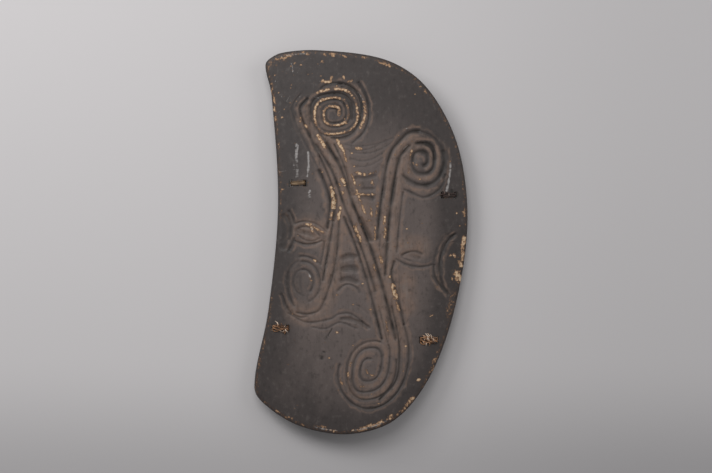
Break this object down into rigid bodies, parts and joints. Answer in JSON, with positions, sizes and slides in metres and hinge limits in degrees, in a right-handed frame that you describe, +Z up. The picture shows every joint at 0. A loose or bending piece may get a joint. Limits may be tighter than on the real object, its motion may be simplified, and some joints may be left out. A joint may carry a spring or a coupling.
{
  "type": "tribal war shield",
  "caption": "Crescent carved wooden war shield, gently crowned, with relief scrolls on long straps, split cane lashings and bent cane grips on its hollow back.",
  "frame": {"origin": "centre of the bounding box in plan, on the surface that the shield lies on", "axes": "+Y towards the shield's top along its length, +X across its width towards the strongly curved edge, +Z up, out of the carved face"},
  "size_m": [0.67, 1.2, 0.094],
  "materials": {
    "dark_carved_wood": "dark brown-black stained wood, matte, worn to tan on crests and rim",
    "split_cane": "aged split cane, satin",
    "peeled_cane": "handled peeled cane, satin"
  },
  "bodies": {
    "root": {"shield_board": "dark_carved_wood", "tie_upper_left": "split_cane", "tie_upper_right": "split_cane", "tie_lower_left": "split_cane", "tie_lower_right": "split_cane", "grip_left": "peeled_cane", "grip_right": "peeled_cane"}
  },
  "joints": []
}
